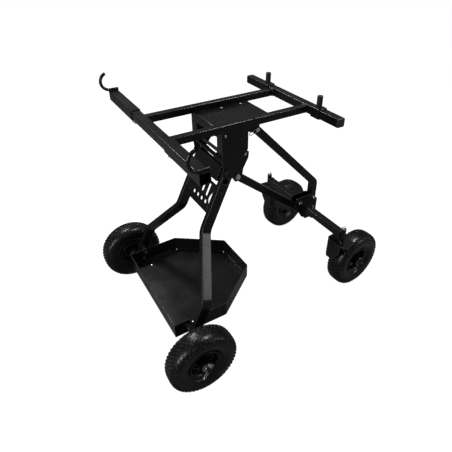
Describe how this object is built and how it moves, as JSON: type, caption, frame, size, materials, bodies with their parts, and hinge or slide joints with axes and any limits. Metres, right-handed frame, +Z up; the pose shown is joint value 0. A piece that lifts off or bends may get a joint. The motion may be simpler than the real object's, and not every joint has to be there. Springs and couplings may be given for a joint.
{
  "type": "folding kart stand trolley",
  "caption": "Folding steel trolley stand: a raised rectangular cradle frame with axle hooks and pegs, on leaning rear legs with a tool tray and a castered front strut.",
  "frame": {"origin": "on the floor, midway between the axles and between the left and right wheels", "axes": "+X from the axle hooks towards the pegs and swivelling wheels, +Y left, +Z up"},
  "size_m": [1.0907, 0.808, 0.9265],
  "materials": {
    "powder_coat": "satin black powder coat",
    "rim_paint": "gloss black paint",
    "tyre_rubber": "matt rubber with block tread",
    "bearing_steel": "ground steel",
    "zinc_hardware": "bright zinc plate",
    "axle_steel": "turned steel",
    "grip_rubber": "matt rubber",
    "cap_plastic": "fine-grained plastic"
  },
  "bodies": {
    "top_frame": {"brace_bracket": "powder_coat", "front_cross_tube": "powder_coat", "front_tube_caps": "cap_plastic", "left_rail": "powder_coat", "left_side_plate": "powder_coat", "pivot_bolt": "powder_coat", "rear_cross_tube": "powder_coat", "right_rail": "powder_coat", "right_side_plate": "powder_coat", "saddle_plate": "powder_coat", "side_plate_bolts": "zinc_hardware", "spacer_bars": "powder_coat"},
    "left_arm": {"left_hook_arm": "powder_coat", "left_hook": "powder_coat", "left_arm_screw": "zinc_hardware"},
    "right_arm": {"right_hook_arm": "powder_coat", "right_hook": "powder_coat", "right_arm_screw": "zinc_hardware"},
    "left_peg": {"left_peg_collar": "powder_coat", "left_peg_grip": "grip_rubber"},
    "right_peg": {"right_peg_collar": "powder_coat", "right_peg_grip": "grip_rubber"},
    "rear_legs": {"left_rear_leg": "powder_coat", "right_rear_leg": "powder_coat", "leg_cross_tube": "powder_coat", "pivot_tube": "powder_coat", "leg_head_channel": "powder_coat", "gusset_plate": "powder_coat", "strut_bracket": "powder_coat", "strut_bracket_bolt": "zinc_hardware", "strut_hinge_bolt": "zinc_hardware", "tray": "powder_coat", "tray_fixings": "zinc_hardware", "rear_axle_stubs": "axle_steel", "rear_axle_clips": "zinc_hardware"},
    "front_strut": {"lower_bar": "powder_coat", "brace": "powder_coat", "front_axle_beam": "powder_coat", "hub_bracket": "powder_coat", "hub_bolts": "zinc_hardware", "foot_tab": "powder_coat"},
    "lock_pin": {"lock_pin": "zinc_hardware"},
    "left_caster": {"left_caster_bracket": "powder_coat", "left_kingpin": "zinc_hardware", "left_caster_axle": "axle_steel"},
    "right_caster": {"right_caster_bracket": "powder_coat", "right_kingpin": "zinc_hardware", "right_caster_axle": "axle_steel"},
    "rear_left_wheel": {"rear_left_tyre": "tyre_rubber", "rear_left_rim": "rim_paint", "rear_left_bearings": "bearing_steel"},
    "rear_right_wheel": {"rear_right_tyre": "tyre_rubber", "rear_right_rim": "rim_paint", "rear_right_bearings": "bearing_steel"},
    "front_left_wheel": {"front_left_tyre": "tyre_rubber", "front_left_rim": "rim_paint", "front_left_bearings": "bearing_steel"},
    "front_right_wheel": {"front_right_tyre": "tyre_rubber", "front_right_rim": "rim_paint", "front_right_bearings": "bearing_steel"}
  },
  "joints": [
    {"name": "leg_fold", "type": "hinge", "parent": "top_frame", "child": "rear_legs", "pos_m": [-0.154, 0, 0.672], "axis": [0, 1, 0], "range_deg": [0, 60]},
    {"name": "strut_fold", "type": "hinge", "parent": "rear_legs", "child": "front_strut", "pos_m": [-0.06, 0, 0.585], "axis": [0, 1, 0], "range_deg": [0, 30]},
    {"name": "lock_pin_slide", "type": "slide", "parent": "front_strut", "child": "lock_pin", "axis": [0, 1, 0], "range_m": [-0.055, 0]},
    {"name": "left_arm_slide", "type": "slide", "parent": "top_frame", "child": "left_arm", "axis": [0, 1, 0], "range_m": [-0.028, 0.1]},
    {"name": "right_arm_slide", "type": "slide", "parent": "top_frame", "child": "right_arm", "axis": [0, 1, 0], "range_m": [-0.1, 0.012]},
    {"name": "left_peg_slide", "type": "slide", "parent": "top_frame", "child": "left_peg", "axis": [0, 1, 0], "range_m": [-0.008, 0.1]},
    {"name": "right_peg_slide", "type": "slide", "parent": "top_frame", "child": "right_peg", "axis": [0, 1, 0], "range_m": [-0.075, 0.024]},
    {"name": "left_caster_swivel", "type": "hinge", "parent": "front_strut", "child": "left_caster", "pos_m": [0.3065, 0.26, 0.31], "axis": [0, 0, 1], "continuous": true},
    {"name": "right_caster_swivel", "type": "hinge", "parent": "front_strut", "child": "right_caster", "pos_m": [0.3065, -0.26, 0.31], "axis": [0, 0, 1], "continuous": true},
    {"name": "rear_left_spin", "type": "hinge", "parent": "rear_legs", "child": "rear_left_wheel", "pos_m": [-0.4125, 0.335, 0.13], "axis": [0, 1, 0], "continuous": true},
    {"name": "rear_right_spin", "type": "hinge", "parent": "rear_legs", "child": "rear_right_wheel", "pos_m": [-0.4125, -0.351, 0.13], "axis": [0, 1, 0], "continuous": true},
    {"name": "front_left_spin", "type": "hinge", "parent": "left_caster", "child": "front_left_wheel", "pos_m": [0.41767, 0.26654, 0.13], "axis": [-0.1392, 0.9903, 0], "continuous": true},
    {"name": "front_right_spin", "type": "hinge", "parent": "right_caster", "child": "front_right_wheel", "pos_m": [0.41645, -0.24232, 0.13], "axis": [-0.0785, 0.9969, 0], "continuous": true}
  ]
}
